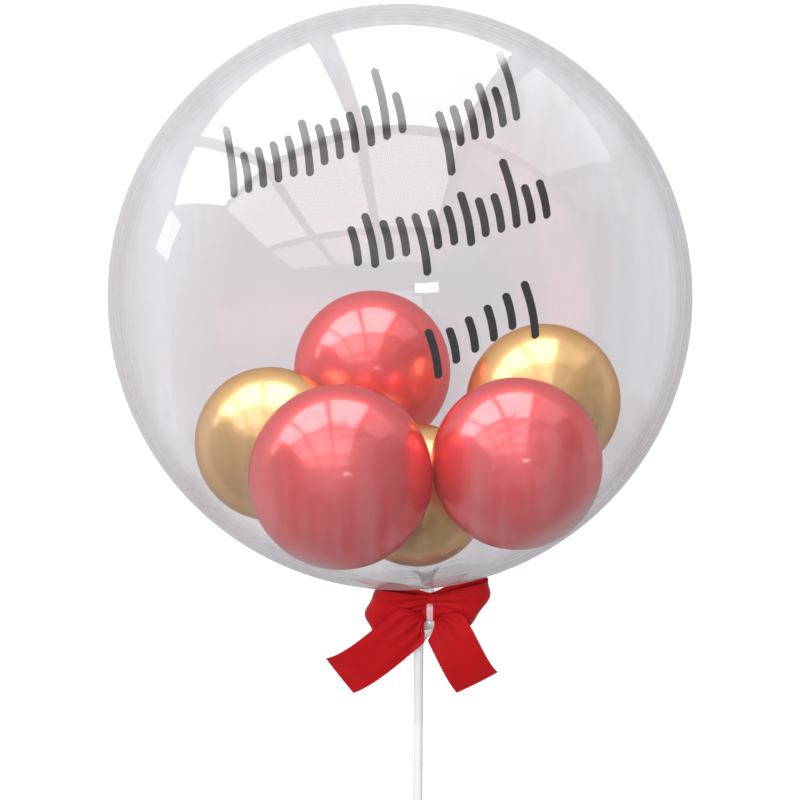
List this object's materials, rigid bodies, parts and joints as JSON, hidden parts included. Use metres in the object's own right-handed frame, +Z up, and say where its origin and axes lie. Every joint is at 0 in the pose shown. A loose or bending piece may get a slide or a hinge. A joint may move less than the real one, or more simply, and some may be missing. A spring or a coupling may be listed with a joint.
{
  "type": "clear bubble balloon on a stick",
  "caption": "Clear round bubble balloon with a gathered neck, held by a moulded cup on a stick, with a satin bow and small balloons sealed inside, lying on the floor.",
  "frame": {"origin": "the middle of the bubble's flat rest spot, on the floor right under the middle of the bubble", "axes": "+Z up; the balloon lies with its stick pointing to -Y and down to the floor, and +X is to the right seen from above with the bubble away from the viewer"},
  "size_m": [0.4496, 0.8961, 0.4479],
  "materials": {
    "clear_film": "thin clear plastic film, glossy, nearly colourless",
    "white_plastic": "moulded white plastic, light satin gloss",
    "red_satin": "woven satin ribbon, soft sheen along its length",
    "clear_tape": "clear adhesive tape, slightly milky",
    "rose_latex": "metallic rose latex, smooth and pearly",
    "gold_latex": "metallic gold latex, smooth and pearly",
    "black_vinyl": "thin cut vinyl film, glossy black"
  },
  "bodies": {
    "root": {"bubble": "clear_film", "cup_with_stem": "white_plastic", "stick": "white_plastic", "ribbon_bow": "red_satin", "bow_tape": "clear_tape"}
  },
  "joints": []
}
